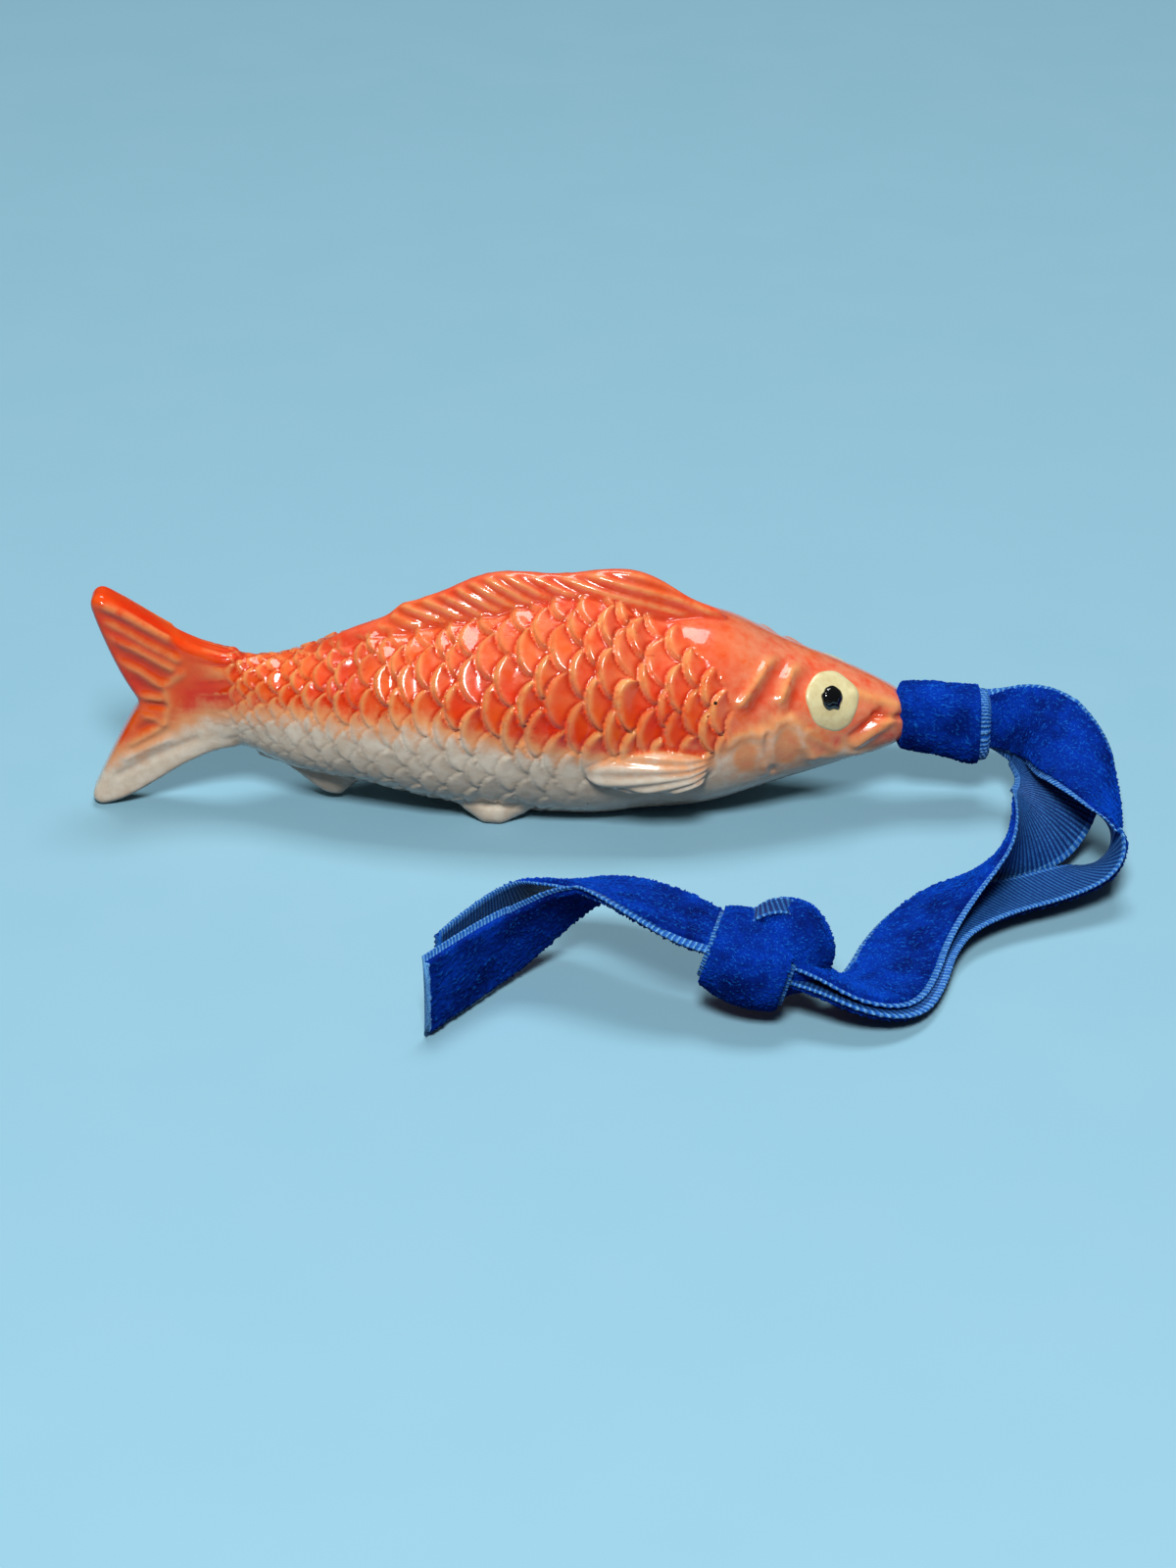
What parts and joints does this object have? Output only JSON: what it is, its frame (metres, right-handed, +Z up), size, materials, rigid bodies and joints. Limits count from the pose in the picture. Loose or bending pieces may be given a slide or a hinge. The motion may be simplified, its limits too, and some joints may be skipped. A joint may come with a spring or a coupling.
{
  "type": "fish ornament",
  "caption": "Glazed ceramic carp ornament standing on its belly, with a wire ring through its snout and a velvet ribbon hitched to the ring for hanging.",
  "frame": {"origin": "middle of the fish with its ring, on the table that it stands on", "axes": "+X along the fish towards its mouth, +Z up, the fish's right side faces -Y"},
  "size_m": [0.1194, 0.0681, 0.0296],
  "materials": {
    "glaze": "glossy orange glaze over a cream belly",
    "eye_enamel": "cream enamel",
    "pupil_enamel": "glossy black enamel",
    "wire": "darkened wire",
    "velvet": "royal blue velvet with a ribbed back"
  },
  "bodies": {
    "fish": {"body_shell_right": "glaze", "body_shell_left": "glaze", "dorsal_fin": "glaze", "tail_fin": "glaze", "anal_fin": "glaze", "pelvic_fin_right": "glaze", "pelvic_fin_left": "glaze", "pectoral_fin_right": "glaze", "pectoral_fin_left": "glaze", "eye_right": "eye_enamel", "eye_left": "eye_enamel", "pupil_right": "pupil_enamel", "pupil_left": "pupil_enamel"},
    "ring": {"mouth_ring": "wire"},
    "ribbon": {"ribbon_bight": "velvet", "ribbon_hitch_band": "velvet", "ribbon_front_strand": "velvet", "ribbon_back_strand": "velvet", "ribbon_knot": "velvet", "ribbon_front_tail": "velvet", "ribbon_back_tail": "velvet"}
  },
  "joints": [
    {"name": "ring_swing", "type": "hinge", "parent": "fish", "child": "ring", "pos_m": [0.0453, 0, 0.011], "axis": [0, 0, 1], "range_deg": [-10, 10]},
    {"name": "ribbon_swing", "type": "hinge", "parent": "ring", "child": "ribbon", "pos_m": [0.0482, 0, 0.011], "axis": [0, 0, 1], "range_deg": [-14, 26]}
  ]
}
